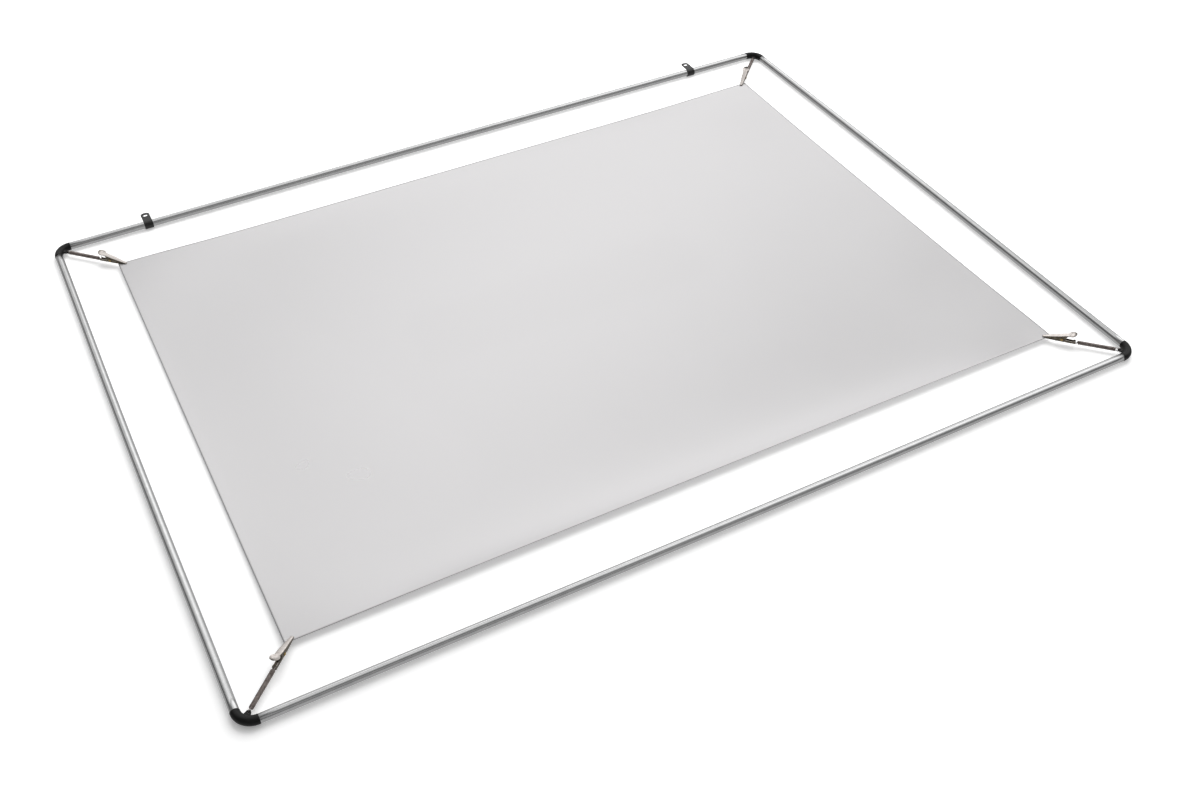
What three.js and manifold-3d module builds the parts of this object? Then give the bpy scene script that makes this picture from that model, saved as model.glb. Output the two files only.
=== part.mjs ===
// A tension frame for a poster or a print: four round tubes joined by four plastic elbows,
// with a coil spring and a crocodile clip on each diagonal that pull the sheet flat, and two
// strap hangers on the back tube. Millimetres, +Z up, lying on its back on the floor.
import * as THREE from "three";
import { mergeVertices } from "three/addons/utils/BufferGeometryUtils.js";
import Module from "manifold-3d";

const wasm = await Module();
wasm.setup();

// ---------------------------------------------------------------- driving dimensions
const FRAME_LENGTH = 794; // between tube centre lines, along X
const FRAME_WIDTH = 602; // between tube centre lines, along Y
const SHEET_LENGTH = 700;
const SHEET_WIDTH = 500;
const SHEET_THICKNESS = 0.3;
const TUBE_RADIUS = 3.5;
const TUBE_BORE = 2.7;
const GAP = 0.3; // air left between pieces that touch

// Elbows: a quarter bend, distances from the corner where the centre lines cross
const ELBOW_RADIUS = 3.7;
const BEND_RADIUS = 12.5;
const ELBOW_END = 13; // end face of each arm
const SPIGOT_RADIUS = TUBE_BORE - GAP;
const SPIGOT_LENGTH = 14;
const LUG_TIP = 13.2; // along the diagonal
const LUG_EYE = 11.3;
const LUG_EYE_RADIUS = 1;
const LUG_THICKNESS = 1.4;

// Hangers: a strap bent round the back tube, its two tabs pointing outwards
const STRAP_WIDTH = 8.4;
const STRAP_THICKNESS = 0.6;
const STRAP_BORE = TUBE_RADIUS + 0.2;
const STRAP_OUTER = STRAP_BORE + STRAP_THICKNESS;
const UPPER_TAB = 14.2; // tab ends, from the tube's centre line
const LOWER_TAB = 12;
const UPPER_HOLE = 9.6; // hole centres, from the tube's centre line
const LOWER_HOLE = 8;
const HOLE_LENGTH = 4.2;
const HOLE_WIDTH = 3;
const TAB_CORNER = 3.4;
const HANGER_INSET = 88.5; // from each end of the back tube's centre line

// Springs: close-wound coil with a wire loop at each end, distances along the diagonal
const COIL_START = 14.4;
const COIL_END = 47.2;
const COIL_RADIUS = 1.8;
const WIRE_RADIUS = 0.35;
const LOOP_REACH = 1.7; // half the length of a loop
const LUG_LOOP_HEIGHT = 1.45; // half the height of a loop
const CLIP_LOOP_HEIGHT = 1.2;
const CLIP_LOOP_DROP = 0.9; // the clip's loop hangs below the coil's axis

// Clips: distances from the tail towards the teeth, heights from the spring's axis
const CLIP_TAIL = 48.5; // along the diagonal
const CLIP_LENGTH = 28;
const PLATE = 0.45;
const PIVOT = new THREE.Vector2(12, 1.9);
const PIN_RADIUS = 0.6;
const PIN_HOLE = 0.9;
const LOWER_HALF_WIDTH = 1.65;
const UPPER_HALF_WIDTH = LOWER_HALF_WIDTH + GAP + PLATE;
const JAW_SLOPE = Math.tan(THREE.MathUtils.degToRad(15.5)); // closed upper jaw above the sheet
const MOUTH = SHEET_THICKNESS / 2 + GAP; // half the gap between the closed jaws
const TAIL_HOLE = 1.7;
const TAIL_HOLE_RADIUS = 0.9;

// The straps' lower tabs lie on the floor, and the box round the whole object is centred in Y
const AXIS_HEIGHT = STRAP_OUTER;
const FRAME_CENTRE_Y = (ELBOW_RADIUS - UPPER_TAB) / 2;

const TUBE_SIDES = 24;
const ELBOW_SIDES = 16;
const PIN_SIDES = 12;

// ---------------------------------------------------------------- solids
function solid(geometry) {
  const bare = geometry.clone();
  bare.deleteAttribute("normal");
  bare.deleteAttribute("uv");
  const merged = mergeVertices(bare, 1e-4);
  return new wasm.Manifold(
    new wasm.Mesh({
      numProp: 3,
      vertProperties: merged.attributes.position.array,
      triVerts: new Uint32Array(merged.index.array),
    }),
  );
}

function geometryOf(made) {
  const mesh = made.getMesh();
  const positions = new THREE.BufferAttribute(new Float32Array(mesh.vertProperties), 3);
  const geometry = new THREE.BufferGeometry();
  geometry.setAttribute("position", positions);
  geometry.setIndex(new THREE.BufferAttribute(new Uint32Array(mesh.triVerts), 1));
  geometry.computeVertexNormals();
  return geometry;
}

const union = (...solids) => solids.reduce((all, next) => all.add(next));

// A cylinder along X, Y or Z between two coordinates on that axis.
function cylinder(radius, from, to, axis, sides, centre = [0, 0, 0]) {
  const made = new THREE.CylinderGeometry(radius, radius, to - from, sides);
  made.rotateY(Math.PI / sides);
  if (axis === "x") made.rotateZ(-Math.PI / 2);
  if (axis === "z") made.rotateX(Math.PI / 2);
  const middle = new THREE.Vector3(...centre);
  middle[axis] += (from + to) / 2;
  made.translate(middle.x, middle.y, middle.z);
  return solid(made);
}

// An outline in the XY plane, extruded up from one height to another.
function plate(outline, from, to) {
  const shape = new THREE.Shape(outline.map(([x, y]) => new THREE.Vector2(x, y)));
  const made = new THREE.ExtrudeGeometry(shape, { depth: to - from, bevelEnabled: false });
  made.translate(0, 0, from);
  return solid(made);
}

// A side view in the XZ plane, extruded to half_width on both sides of the middle.
function sideView(outline, halfWidth) {
  const shape = new THREE.Shape(outline.map(([x, z]) => new THREE.Vector2(x, z)));
  const made = new THREE.ExtrudeGeometry(shape, { depth: 2 * halfWidth, bevelEnabled: false });
  made.translate(0, 0, -halfWidth);
  made.rotateX(Math.PI / 2);
  return solid(made);
}

function circle(radius, sides) {
  return new THREE.Shape(
    Array.from({ length: sides }, (_, i) => {
      const angle = (2 * Math.PI * i) / sides;
      return new THREE.Vector2(radius * Math.cos(angle), radius * Math.sin(angle));
    }),
  );
}

// ---------------------------------------------------------------- materials
const material = (name, color, roughness, metalness) =>
  new THREE.MeshStandardMaterial({ name, color, roughness, metalness });

const mesh = (name, geometry, finish) => {
  const made = new THREE.Mesh(geometry, finish);
  made.name = name;
  return made;
};

// ---------------------------------------------------------------- tubes
function tubeGeometry(length) {
  const wall = circle(TUBE_RADIUS, TUBE_SIDES);
  wall.holes.push(circle(TUBE_BORE, TUBE_SIDES));
  const made = new THREE.ExtrudeGeometry(wall, { depth: length, bevelEnabled: false });
  made.translate(0, 0, -length / 2);
  return made.rotateY(Math.PI / 2);
}

function addTubes(frame) {
  const cutBack = 2 * (ELBOW_END + GAP);
  const sides = [
    ["tube_front", FRAME_LENGTH, 0, -FRAME_WIDTH / 2, 0],
    ["tube_right", FRAME_WIDTH, FRAME_LENGTH / 2, 0, Math.PI / 2],
    ["tube_back", FRAME_LENGTH, 0, FRAME_WIDTH / 2, 0],
    ["tube_left", FRAME_WIDTH, -FRAME_LENGTH / 2, 0, Math.PI / 2],
  ];
  for (const [name, span, x, y, turn] of sides) {
    const tube = mesh(name, tubeGeometry(span - cutBack), material("anodised aluminium", 0xc9cacb, 0.35, 1));
    tube.position.set(x, y, 0);
    tube.rotation.z = turn;
    frame.add(tube);
  }
}

// ---------------------------------------------------------------- elbows
class BendCurve extends THREE.Curve {
  // From the end of the arm along +X, round the bend, to the end of the arm along +Y.
  getPoint(t, target = new THREE.Vector3()) {
    const collar = ELBOW_END - BEND_RADIUS;
    const arc = (Math.PI / 2) * BEND_RADIUS;
    const run = t * (2 * collar + arc);
    if (run < collar) return target.set(ELBOW_END - run, 0, 0);
    if (run > collar + arc) return target.set(0, run - arc - collar + BEND_RADIUS, 0);
    const angle = (run - collar) / BEND_RADIUS;
    return target.set(
      BEND_RADIUS * (1 - Math.sin(angle)),
      BEND_RADIUS * (1 - Math.cos(angle)),
      0,
    );
  }
}

// In the corner's own frame: arms along +X and +Y, the lug on the diagonal between them.
function elbowGeometry() {
  const bend = new THREE.ExtrudeGeometry(circle(ELBOW_RADIUS, ELBOW_SIDES), {
    steps: 10,
    extrudePath: new BendCurve(),
  });
  const spigotEnd = ELBOW_END + SPIGOT_LENGTH;
  const spigots = ["x", "y"].map((axis) =>
    cylinder(SPIGOT_RADIUS, ELBOW_END - 1, spigotEnd, axis, PIN_SIDES),
  );
  const bendInside = Math.SQRT2 * BEND_RADIUS - (BEND_RADIUS - ELBOW_RADIUS);
  const root = bendInside - 2.5;
  const tipRadius = LUG_TIP - LUG_EYE;
  const tip = Array.from({ length: 9 }, (_, i) => {
    const angle = (-0.5 + i / 8) * Math.PI;
    return [LUG_EYE + tipRadius * Math.cos(angle), tipRadius * Math.sin(angle)];
  });
  const eye = plate([[root, -3.2], ...tip, [root, 3.2]], -LUG_THICKNESS / 2, LUG_THICKNESS / 2);
  const wedge = sideView(
    [[root, -2.2], [LUG_EYE - 1.4, -LUG_THICKNESS / 2], [LUG_EYE - 1.4, LUG_THICKNESS / 2], [root, 2.2]],
    1.7,
  );
  const hole = cylinder(LUG_EYE_RADIUS, -2, 2, "z", PIN_SIDES, [LUG_EYE, 0, 0]);
  const lug = eye.add(wedge).subtract(hole).rotate([0, 0, 45]);
  return geometryOf(union(solid(bend), ...spigots, lug));
}

// ---------------------------------------------------------------- hangers
// Side view of the strap in the XY plane: X outwards from the tube, Y up.
function strapOutline() {
  const shape = new THREE.Shape();
  shape.moveTo(UPPER_TAB, STRAP_OUTER);
  shape.lineTo(0, STRAP_OUTER);
  shape.absarc(0, 0, STRAP_OUTER, Math.PI / 2, 1.5 * Math.PI, false);
  shape.lineTo(LOWER_TAB, -STRAP_OUTER);
  shape.lineTo(LOWER_TAB, -STRAP_BORE);
  shape.lineTo(0, -STRAP_BORE);
  shape.absarc(0, 0, STRAP_BORE, 1.5 * Math.PI, Math.PI / 2, true);
  shape.lineTo(UPPER_TAB, STRAP_BORE);
  return shape;
}

// Plan of one tab with rounded outer corners, from behind the tube to the tab's end.
function tabPlan(end) {
  const half = STRAP_WIDTH / 2;
  const corner = (sign) =>
    Array.from({ length: 5 }, (_, i) => {
      const angle = (sign * (i * Math.PI)) / 8;
      const x = end - TAB_CORNER + TAB_CORNER * Math.cos(angle);
      return [x, sign * (half - TAB_CORNER) + TAB_CORNER * Math.sin(angle)];
    });
  return [[-20, -half], ...corner(-1).reverse(), ...corner(1), [-20, half]];
}

function slotPlan(centre) {
  const radius = HOLE_WIDTH / 2;
  const reach = (HOLE_LENGTH - HOLE_WIDTH) / 2;
  return Array.from({ length: 16 }, (_, i) => {
    const angle = (2 * Math.PI * (i + 0.5)) / 16;
    const side = Math.sign(Math.sin(angle));
    return [centre + radius * Math.cos(angle), side * reach + radius * Math.sin(angle)];
  });
}

// The strap's own frame: X outwards, Y along the tube, Z up, origin on the tube's centre line.
function hangerGeometry() {
  const strap = new THREE.ExtrudeGeometry(strapOutline(), {
    depth: STRAP_WIDTH,
    bevelEnabled: false,
    curveSegments: 12,
  });
  strap.translate(0, 0, -STRAP_WIDTH / 2);
  strap.rotateX(Math.PI / 2);
  const high = STRAP_OUTER + 1;
  const plan = plate(tabPlan(UPPER_TAB), 0, high).add(plate(tabPlan(LOWER_TAB), -high, 0));
  const holes = plate(slotPlan(UPPER_HOLE), 0, high).add(plate(slotPlan(LOWER_HOLE), -high, 0));
  return geometryOf(solid(strap).intersect(plan).subtract(holes));
}

function addHangers(frame) {
  for (const [name, side] of [["hanger_left", -1], ["hanger_right", 1]]) {
    const hanger = mesh(name, hangerGeometry(), material("black strap", 0x1b1b1c, 0.5, 0));
    hanger.position.set(side * (FRAME_LENGTH / 2 - HANGER_INSET), FRAME_WIDTH / 2, 0);
    hanger.rotation.z = Math.PI / 2;
    frame.add(hanger);
  }
}

// ---------------------------------------------------------------- springs
// Along the diagonal: the coil's outer shape, with a loop through the lug's eye and one
// through the clip's tail.
function springGeometry() {
  const loop = (centre, height, drop) => {
    const made = new THREE.TorusGeometry(height, WIRE_RADIUS, 6, 16);
    made.rotateX(Math.PI / 2);
    made.scale(LOOP_REACH / height, 1, 1);
    made.translate(centre, 0, -drop);
    return solid(made);
  };
  const lugLoop = loop(COIL_START + WIRE_RADIUS - LOOP_REACH, LUG_LOOP_HEIGHT, 0);
  const clipLoop = loop(COIL_END - WIRE_RADIUS + LOOP_REACH, CLIP_LOOP_HEIGHT, CLIP_LOOP_DROP);
  const coil = cylinder(COIL_RADIUS, COIL_START, COIL_END, "x", PIN_SIDES);
  return geometryOf(union(coil, lugLoop, clipLoop));
}

// ---------------------------------------------------------------- clips
const jawPlan = (halfWidth, tipHalfWidth) => [
  [-1, -halfWidth],
  [14, -halfWidth],
  [CLIP_LENGTH, -tipHalfWidth],
  [CLIP_LENGTH, tipHalfWidth],
  [14, halfWidth],
  [-1, halfWidth],
];

const pinHole = () =>
  cylinder(PIN_HOLE, -5, 5, "y", PIN_SIDES, [PIVOT.x, 0, PIVOT.y]);

function lowerJawGeometry() {
  const floor = (x) => -1.4 + (0.5 * x) / CLIP_LENGTH;
  const outline = [
    [0, floor(0)],
    [CLIP_LENGTH, floor(CLIP_LENGTH)],
    [CLIP_LENGTH, -MOUTH],
    [15.3, -MOUTH],
    [14.4, 0.9],
    [13.6, 2.8],
    [12.6, 3.4],
    [11.2, 3.4],
    [10, 2.8],
    [8.4, 1.2],
    [2.4, 0.9],
    [1.2, 1.5],
    [0, 1.5],
  ];
  const outer = sideView(outline, 5).intersect(plate(jawPlan(LOWER_HALF_WIDTH, 1), -5, 10));
  const inside = sideView(
    [[-1, floor(-1) + PLATE], [15, floor(15) + PLATE], [15, 9], [-1, 9]],
    LOWER_HALF_WIDTH - PLATE,
  );
  const tailHole = cylinder(TAIL_HOLE_RADIUS, -5, 0, "z", PIN_SIDES, [TAIL_HOLE, 0, 0]);
  return geometryOf(outer.subtract(inside).subtract(tailHole).subtract(pinHole()));
}

function upperJawGeometry() {
  const top = (x) => MOUTH + 0.5 + JAW_SLOPE * (CLIP_LENGTH - x);
  const outline = [
    [0.6, top(0.6) + 0.9],
    [1, top(1) - 0.1],
    [6.2, top(6.2) - 0.5],
    [8.2, 5],
    [9.4, 2],
    [10.4, 0.7],
    [12, 0.3],
    [13.6, 0.6],
    [15, 1.1],
    [17, MOUTH],
    [CLIP_LENGTH, MOUTH],
    [CLIP_LENGTH, top(CLIP_LENGTH)],
    [2, top(2) + 0.3],
    [1.2, top(1.2) + 0.9],
  ];
  const pad = Array.from({ length: 17 }, (_, i) => {
    const angle = (2 * Math.PI * i) / 16;
    return [3.9 + 3.4 * Math.cos(angle), 3.7 * Math.sin(angle)];
  }).slice(0, 16);
  const waist = [[5, -UPPER_HALF_WIDTH], ...jawPlan(UPPER_HALF_WIDTH, 1.25).slice(1, 5)];
  const plan = plate([...waist, [5, UPPER_HALF_WIDTH]], -5, 12).add(plate(pad, -5, 12));
  const inside = sideView(
    [[-1, -1], [24, -1], [24, top(24) - 0.5], [-1, top(-1) - 0.5]],
    UPPER_HALF_WIDTH - PLATE,
  );
  const channel = plate(
    [
      [-1, -UPPER_HALF_WIDTH + PLATE],
      [14, -UPPER_HALF_WIDTH + PLATE],
      [24, -1.1],
      [24, 1.1],
      [14, UPPER_HALF_WIDTH - PLATE],
      [-1, UPPER_HALF_WIDTH - PLATE],
    ],
    -5,
    12,
  );
  const body = sideView(outline, 5).intersect(plan);
  return geometryOf(body.subtract(inside.intersect(channel)).subtract(pinHole()));
}

function pivotPinGeometry() {
  const head = UPPER_HALF_WIDTH + GAP / 2;
  const centre = [PIVOT.x, 0, PIVOT.y];
  const heads = [-1, 1].map((side) =>
    cylinder(1.15, side < 0 ? -head - 0.4 : head, side < 0 ? -head : head + 0.4, "y", PIN_SIDES, centre),
  );
  return geometryOf(union(cylinder(PIN_RADIUS, -head - 0.2, head + 0.2, "y", PIN_SIDES, centre), ...heads));
}

// A wound wire round the pin, one leg on the lower jaw's floor, one under the upper jaw's plate.
function torsionSpringGeometry() {
  const centre = [PIVOT.x, 0, PIVOT.y];
  const winding = cylinder(1.5, -0.85, 0.85, "y", PIN_SIDES, centre);
  const bore = cylinder(PIN_RADIUS + GAP, -2, 2, "y", PIN_SIDES, centre);
  const lowerLeg = sideView([[5, -0.5], [12, 0.6], [12, 1.1], [5, 0]], 0.25);
  const upperLeg = sideView([[5.5, 5.7], [12, 2.9], [12, 3.3], [5.5, 6.2]], 0.25);
  const legs = [lowerLeg.translate([0, -0.6, 0]), upperLeg.translate([0, 0.6, 0])];
  return geometryOf(union(winding, ...legs).subtract(bore));
}

// ---------------------------------------------------------------- corners
function addCorner(frame, name, sideX, sideY, turn) {
  const corner = new THREE.Group();
  corner.position.set((sideX * FRAME_LENGTH) / 2, (sideY * FRAME_WIDTH) / 2, 0);
  corner.rotation.z = turn;
  frame.add(corner);
  const plastic = material("black moulded plastic", 0x1a1a1b, 0.5, 0);
  corner.add(mesh("elbow_" + name, elbowGeometry(), plastic));

  const diagonal = new THREE.Group();
  diagonal.rotation.z = Math.PI / 4;
  corner.add(diagonal);
  const wire = material("spring steel", 0x6f6258, 0.35, 1);
  diagonal.add(mesh("tension_spring_" + name, springGeometry(), wire));

  const clip = new THREE.Group();
  clip.position.x = CLIP_TAIL;
  diagonal.add(clip);
  const nickel = () => material("nickel-plated steel", 0xcfc5b4, 0.28, 1);
  clip.add(mesh("clip_lower_jaw_" + name, lowerJawGeometry(), nickel()));
  clip.add(mesh("clip_upper_jaw_" + name, upperJawGeometry(), nickel()));
  clip.add(mesh("clip_pivot_pin_" + name, pivotPinGeometry(), material("brass", 0xb08a3c, 0.3, 1)));
  const fine = material("torsion spring steel", 0x7d7466, 0.35, 1);
  clip.add(mesh("clip_torsion_spring_" + name, torsionSpringGeometry(), fine));
}

// ---------------------------------------------------------------- the whole object
function tensionFrame() {
  const root = new THREE.Group();
  const frame = new THREE.Group();
  frame.position.set(0, FRAME_CENTRE_Y, AXIS_HEIGHT);
  root.add(frame);

  addTubes(frame);
  addCorner(frame, "front_left", -1, -1, 0);
  addCorner(frame, "front_right", 1, -1, Math.PI / 2);
  addCorner(frame, "back_right", 1, 1, Math.PI);
  addCorner(frame, "back_left", -1, 1, -Math.PI / 2);
  addHangers(frame);

  const sheet = new THREE.BoxGeometry(SHEET_LENGTH, SHEET_WIDTH, SHEET_THICKNESS);
  frame.add(mesh("poster_sheet", sheet, material("satin sheet", 0xcfcfcf, 0.55, 0)));
  return root;
}

export default tensionFrame();
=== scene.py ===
"""The looks of the tension frame: every CAD node is replaced by a finer piece, and all but the
springs ride on a body.

Lengths are in millimetres and become metres as a mesh is made. Corner pieces are made once in
the corner's own frame, X along the diagonal from where the tubes' centre lines cross and Z up,
and are then turned to each corner.
"""

import math

import bpy
from mathutils import Matrix, Vector


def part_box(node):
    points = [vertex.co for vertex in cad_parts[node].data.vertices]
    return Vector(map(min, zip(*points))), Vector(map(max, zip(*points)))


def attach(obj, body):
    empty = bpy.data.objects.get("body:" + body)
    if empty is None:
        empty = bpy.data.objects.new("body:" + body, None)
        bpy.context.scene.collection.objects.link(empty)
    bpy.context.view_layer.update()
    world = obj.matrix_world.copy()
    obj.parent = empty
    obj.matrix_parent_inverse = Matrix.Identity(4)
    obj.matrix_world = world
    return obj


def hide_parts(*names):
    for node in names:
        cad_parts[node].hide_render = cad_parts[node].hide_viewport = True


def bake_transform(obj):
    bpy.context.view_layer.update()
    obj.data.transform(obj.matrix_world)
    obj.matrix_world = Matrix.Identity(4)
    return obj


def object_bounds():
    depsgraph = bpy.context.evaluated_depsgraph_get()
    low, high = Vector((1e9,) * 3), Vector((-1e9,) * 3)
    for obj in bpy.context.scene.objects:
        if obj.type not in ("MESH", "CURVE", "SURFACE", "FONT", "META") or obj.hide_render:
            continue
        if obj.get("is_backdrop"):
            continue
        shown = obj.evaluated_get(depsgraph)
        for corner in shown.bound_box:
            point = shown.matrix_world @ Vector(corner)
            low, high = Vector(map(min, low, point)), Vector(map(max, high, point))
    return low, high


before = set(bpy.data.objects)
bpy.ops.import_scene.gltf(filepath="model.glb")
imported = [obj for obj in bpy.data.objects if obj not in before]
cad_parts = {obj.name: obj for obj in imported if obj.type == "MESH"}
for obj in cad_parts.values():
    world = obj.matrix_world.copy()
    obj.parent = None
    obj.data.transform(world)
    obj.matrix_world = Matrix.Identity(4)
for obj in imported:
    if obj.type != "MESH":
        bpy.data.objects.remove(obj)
CAD_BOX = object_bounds()

MM = 0.001
CORNERS = {
    "front_left": (-1, -1, 45),
    "front_right": (1, -1, 135),
    "back_right": (1, 1, 225),
    "back_left": (-1, 1, -45),
}


def span(node):
    """A CAD node's lowest and highest corners in millimetres."""
    low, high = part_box(node)
    return low / MM, high / MM


def middle(node):
    low, high = span(node)
    return (low + high) / 2


# ---------------------------------------------------------------- where the CAD says things are
HALF_LENGTH = middle("tube_right").x
CENTRE_Y = (middle("tube_front").y + middle("tube_back").y) / 2
HALF_WIDTH = middle("tube_back").y - CENTRE_Y
AXIS = middle("tube_front").z

TUBE_RADIUS = 3.5
TUBE_BORE = 2.7
TUBE_START = 13.06  # from the corner where the centre lines cross
TUBE_CHAMFER = 0.12
TUBE_BOW = 1.2  # how far the springs' pull has pushed each tube out at its middle

ELBOW_RADIUS = 3.7
BEND_RADIUS = 12.5
ELBOW_END = 13.0
SPIGOT_RADIUS = 2.4
SPIGOT_LENGTH = 14.0
LUG_EYE = 11.3
LUG_EYE_RADIUS = 0.62
LUG_TIP_RADIUS = 1.9
LUG_TIP_SWEEP = 1.35  # radians to each side of the lug's axis
LUG_ROOT_HALF_WIDTH = 3.4
LUG_THICKNESS = 1.4
GUSSET_HALF_HEIGHT = 2.4  # at the bend
GUSSET_THICKNESS = 3.0
GUSSET_GAP = 1.35  # from the gusset's thin end to the eye's centre

COIL_START = 14.75
COIL_END = 46.85
COIL_RADIUS = 1.48
WIRE_RADIUS = 0.31
COIL_TURNS = 50
POINTS_PER_TURN = 24
LOOP_REACH = 1.7
LUG_LOOP = Vector((13.05, 0, 0))
LUG_LOOP_HEIGHT = 1.45
CLIP_LOOP = Vector((48.55, 0, -0.9))
CLIP_LOOP_HEIGHT = 1.2

CLIP_TAIL = 48.5
CLIP_LENGTH = 28.0
PLATE = 0.45
PIVOT = Vector((12, 0, 1.9))
JAW_SLOPE = math.tan(math.radians(15.5))
MOUTH = 0.45
TEETH_START = 17.4
TOOTH_PITCH = 1.3
UPPER_TOOTH_HEIGHT = 0.4
LOWER_TOOTH_HEIGHT = 0.3
PAD_CENTRE = 3.95
PAD_RADIUS = 3.65
PAD_SQUEEZE = 1.07  # how much shorter than wide the thumb pad is
PAD_END = 7.4  # where the pad becomes the channel
TAIL_HOLE = 1.7
TAIL_HOLE_RADIUS = 0.9
TORSION_RADIUS = 1.13
TORSION_WIRE_RADIUS = 0.2
TORSION_SIDE = 0.55  # from the clip's middle plane to each leg
# (distance from the tail, value) points along a clip
UPPER_HALF_WIDTHS = [(14, 2.4), (CLIP_LENGTH, 1.3)]
LOWER_HALF_WIDTHS = [(14, 1.65), (CLIP_LENGTH, 1.05)]
UPPER_EDGES = [
    (7.4, 6.1), (8.2, 5), (9.4, 2), (10.4, 0.8), (12, 0.35), (13.6, 0.7), (15, 1.1),
    (17, MOUTH + 0.1), (CLIP_LENGTH, MOUTH + 0.1),
]
LOWER_EDGES = [
    (0, 1.45), (1.1, 1.45), (2.4, 0.85), (8.4, 1.15), (10, 2.75), (11.2, 3.3),
    (12.6, 3.3), (13.6, 2.75), (14.4, 0.85), (15.3, -0.45), (16.5, -0.75),
    (17.6, -MOUTH - 0.1), (CLIP_LENGTH, -MOUTH - 0.1),
]
# The plating is painted darker by this mask on the walls, as painted shade, and lighter on top, as
# painted light.
WALL = "wall"  # the mesh attribute that tells a jaw's walls from its top
WALL_STARTS = 0.55  # a face that looks up less than this is all wall
WALL_FADE = 0.4

STRAP_HALF_WIDTH = 4.2
STRAP_THICKNESS = 0.5
STRAP_RADIUS = 4.0  # middle of its thickness
UPPER_TAB = 14.2
LOWER_TAB = 12.0
UPPER_HOLE = 9.6
LOWER_HOLE = 8.0
HOLE_LENGTH = 4.2
HOLE_WIDTH = 3.0
TAB_CORNER = 3.4
HANGER_X = middle("hanger_right").x

SHEET_LENGTH = 700.0
SHEET_WIDTH = 500.0
SHEET_THICKNESS = 0.3
SHEET_REST = 0.5  # height of the resting sheet's middle surface
CORNER_FALL = 75.0  # how far from the jaws the sheet comes down
# how high the taut edges stand, as shares of the jaws' height
EDGE_LIFTS = {"front": 1.3, "back": 0.5, "left": 0.6, "right": 0.6}
EDGE_FALL = 27.0  # how far in from an edge the sheet comes down
EDGE_CROWDING = 0.55  # how much the sheet's mesh is finer near its edges
GRIP = 74.6  # where the teeth hold the sheet, along the diagonal


# ---------------------------------------------------------------- numbers
def smooth(t):
    """0 to 1 with a soft start and end."""
    t = min(1.0, max(0.0, t))
    return t * t * (3 - 2 * t)


def along(points, x):
    """Straight lines through (x, value) points, in rising x."""
    if x <= points[0][0]:
        return points[0][1]
    for (x0, y0), (x1, y1) in zip(points, points[1:]):
        if x <= x1:
            return y0 + (y1 - y0) * (x - x0) / (x1 - x0)
    return points[-1][1]


def steps(start, end, count):
    """Evenly spaced numbers, both ends included."""
    return [start + (end - start) * i / (count - 1) for i in range(count)]


# ---------------------------------------------------------------- meshes
def new_mesh(name, points, faces, uvs=None):
    """A mesh object from points in millimetres, smooth shaded."""
    data = bpy.data.meshes.new(name)
    data.from_pydata([tuple(Vector(p) * MM) for p in points], [], faces)
    if uvs:
        layer = data.uv_layers.new(name="UVMap")
        flat = [c for face in uvs for uv in face for c in uv]
        layer.data.foreach_set("uv", flat)
    data.validate()
    data.shade_smooth()
    made = bpy.data.objects.new(name, data)
    bpy.context.scene.collection.objects.link(made)
    return made


def apply_modifiers(made):
    """Bakes the modifiers of an object into its mesh."""
    graph = bpy.context.evaluated_depsgraph_get()
    data = bpy.data.meshes.new_from_object(made.evaluated_get(graph))
    made.modifiers.clear()
    made.data = data
    return made


def modifier(made, kind, **settings):
    added = made.modifiers.new(kind.lower(), kind)
    for key, value in settings.items():
        setattr(added, key, value)
    return added


def rings_along(path, radii, sides):
    """Rings of points round a path, carried along it without twist."""
    points = [Vector(p) for p in path]
    count = len(points)
    tangents = [
        (points[min(i + 1, count - 1)] - points[max(i - 1, 0)]).normalized() for i in range(count)
    ]
    side = tangents[0].orthogonal().normalized()
    rings = []
    for i, (point, tangent) in enumerate(zip(points, tangents)):
        if i:
            side = tangents[i - 1].rotation_difference(tangent) @ side
            side = (side - tangent * side.dot(tangent)).normalized()
        other = tangent.cross(side)
        ring = []
        for k in range(sides):
            angle = 2 * math.pi * k / sides
            ring.append(point + radii[i] * (math.cos(angle) * side + math.sin(angle) * other))
        rings.append(ring)
    return rings


def join_rings(rings, closed=False):
    """Faces and UVs over rings of equal size. closed joins the last ring to the first."""
    sides = len(rings[0])
    faces, uvs = [], []
    travelled = 0.0
    pairs = len(rings) if closed else len(rings) - 1
    for i in range(pairs):
        j = (i + 1) % len(rings)
        step = (rings[j][0] - rings[i][0]).length
        for k in range(sides):
            m = (k + 1) % sides
            faces.append((i * sides + k, i * sides + m, j * sides + m, j * sides + k))
            u0, u1 = travelled * MM, (travelled + step) * MM
            v0, v1 = k / sides, (k + 1) / sides
            uvs.append(((u0, v0), (u0, v1), (u1, v1), (u1, v0)))
        travelled += step
    return faces, uvs


def bar(name, path, radius, sides):
    """A round bar along a path, closed by flat ends. radius is one number or one per point."""
    radii = radius if isinstance(radius, list) else [radius] * len(path)
    rings = rings_along(path, radii, sides)
    faces, uvs = join_rings(rings)
    last = (len(rings) - 1) * sides
    faces.append(tuple(reversed(range(sides))))
    faces.append(tuple(range(last, last + sides)))
    uvs += [((0.0, 0.0),) * sides] * 2
    return new_mesh(name, [p for ring in rings for p in ring], faces, uvs)


def pipe(name, path, outer, inner, sides):
    """A hollow bar: out along the outside and back along the bore."""
    outside = rings_along(path, outer, sides)
    inside = rings_along(path, inner, sides)
    rings = outside + list(reversed(inside))
    faces, uvs = join_rings(rings, closed=True)
    return new_mesh(name, [p for ring in rings for p in ring], faces, uvs)


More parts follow.
